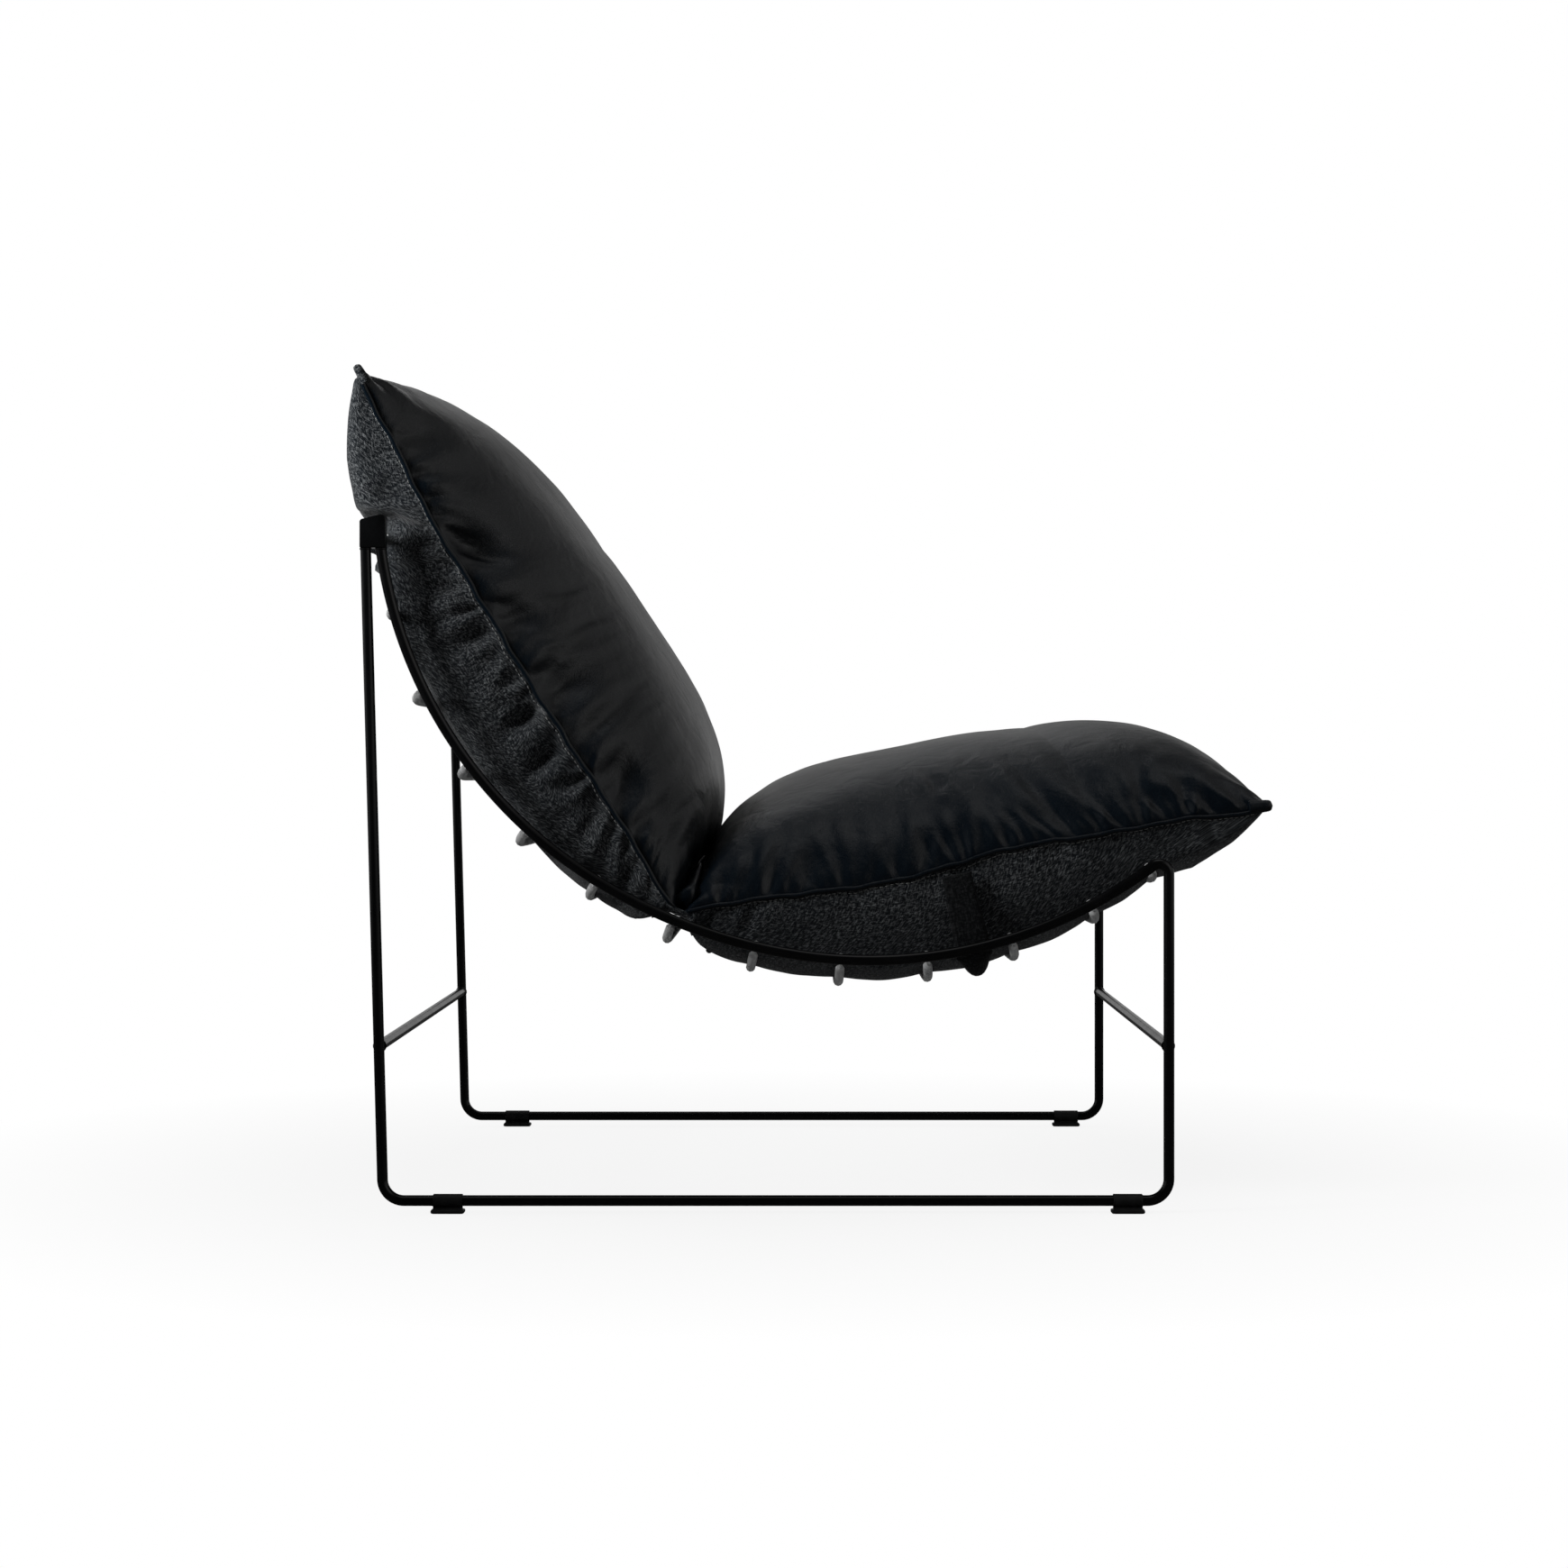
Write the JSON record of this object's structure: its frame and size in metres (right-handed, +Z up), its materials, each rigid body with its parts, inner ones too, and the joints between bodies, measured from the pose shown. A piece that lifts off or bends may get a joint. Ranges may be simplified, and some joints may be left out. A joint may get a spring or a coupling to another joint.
{
  "type": "lounge chair",
  "caption": "Armless lounge chair: a loose leather and fabric cushion of two joined pillows lies in a sling of steel springs between two closed loops of bent black steel rod.",
  "frame": {"origin": "on the floor under the middle of the chair's box, between the two side loops", "axes": "+Z up, -Y the way the sitter faces, +X towards the sitter's left; the chair is symmetric about the YZ plane"},
  "size_m": [0.717, 0.8672, 0.7852],
  "materials": {
    "black_steel": "semi-gloss black powder coat",
    "spring_steel": "close-wound bright steel wire",
    "glide_plastic": "matt black plastic",
    "black_leather": "soft semi-gloss black leather with fine grain and creases",
    "charcoal_fabric": "dark charcoal melange weave",
    "filling": "off-white wadding, hidden",
    "zip": "black zip tape and coil"
  },
  "bodies": {
    "root": {"side_loop_right": "black_steel", "side_loop_left": "black_steel", "rear_top_block_right": "black_steel", "rear_top_block_left": "black_steel", "rear_top_crossbar": "black_steel", "rear_lower_crossbar": "black_steel", "front_lower_crossbar": "black_steel", "glide_rear_right": "glide_plastic", "glide_front_right": "glide_plastic", "glide_rear_left": "glide_plastic", "glide_front_left": "glide_plastic", "spring_01": "spring_steel", "spring_02": "spring_steel", "spring_03": "spring_steel", "spring_04": "spring_steel", "spring_05": "spring_steel", "spring_06": "spring_steel", "spring_07": "spring_steel", "spring_08": "spring_steel", "spring_09": "spring_steel", "spring_10": "spring_steel", "spring_11": "spring_steel", "spring_12": "spring_steel", "back_leather_panel": "black_leather", "seat_leather_panel": "black_leather", "back_piping": "black_leather", "seat_piping": "black_leather", "back_fabric_panel": "charcoal_fabric", "seat_fabric_panel": "charcoal_fabric", "hanging_tunnel": "charcoal_fabric", "crease_strip": "charcoal_fabric", "cushion_strap_right": "charcoal_fabric", "cushion_strap_left": "charcoal_fabric", "back_filling": "filling", "seat_filling": "filling", "back_zip": "zip", "seat_zip": "zip"}
  },
  "joints": []
}
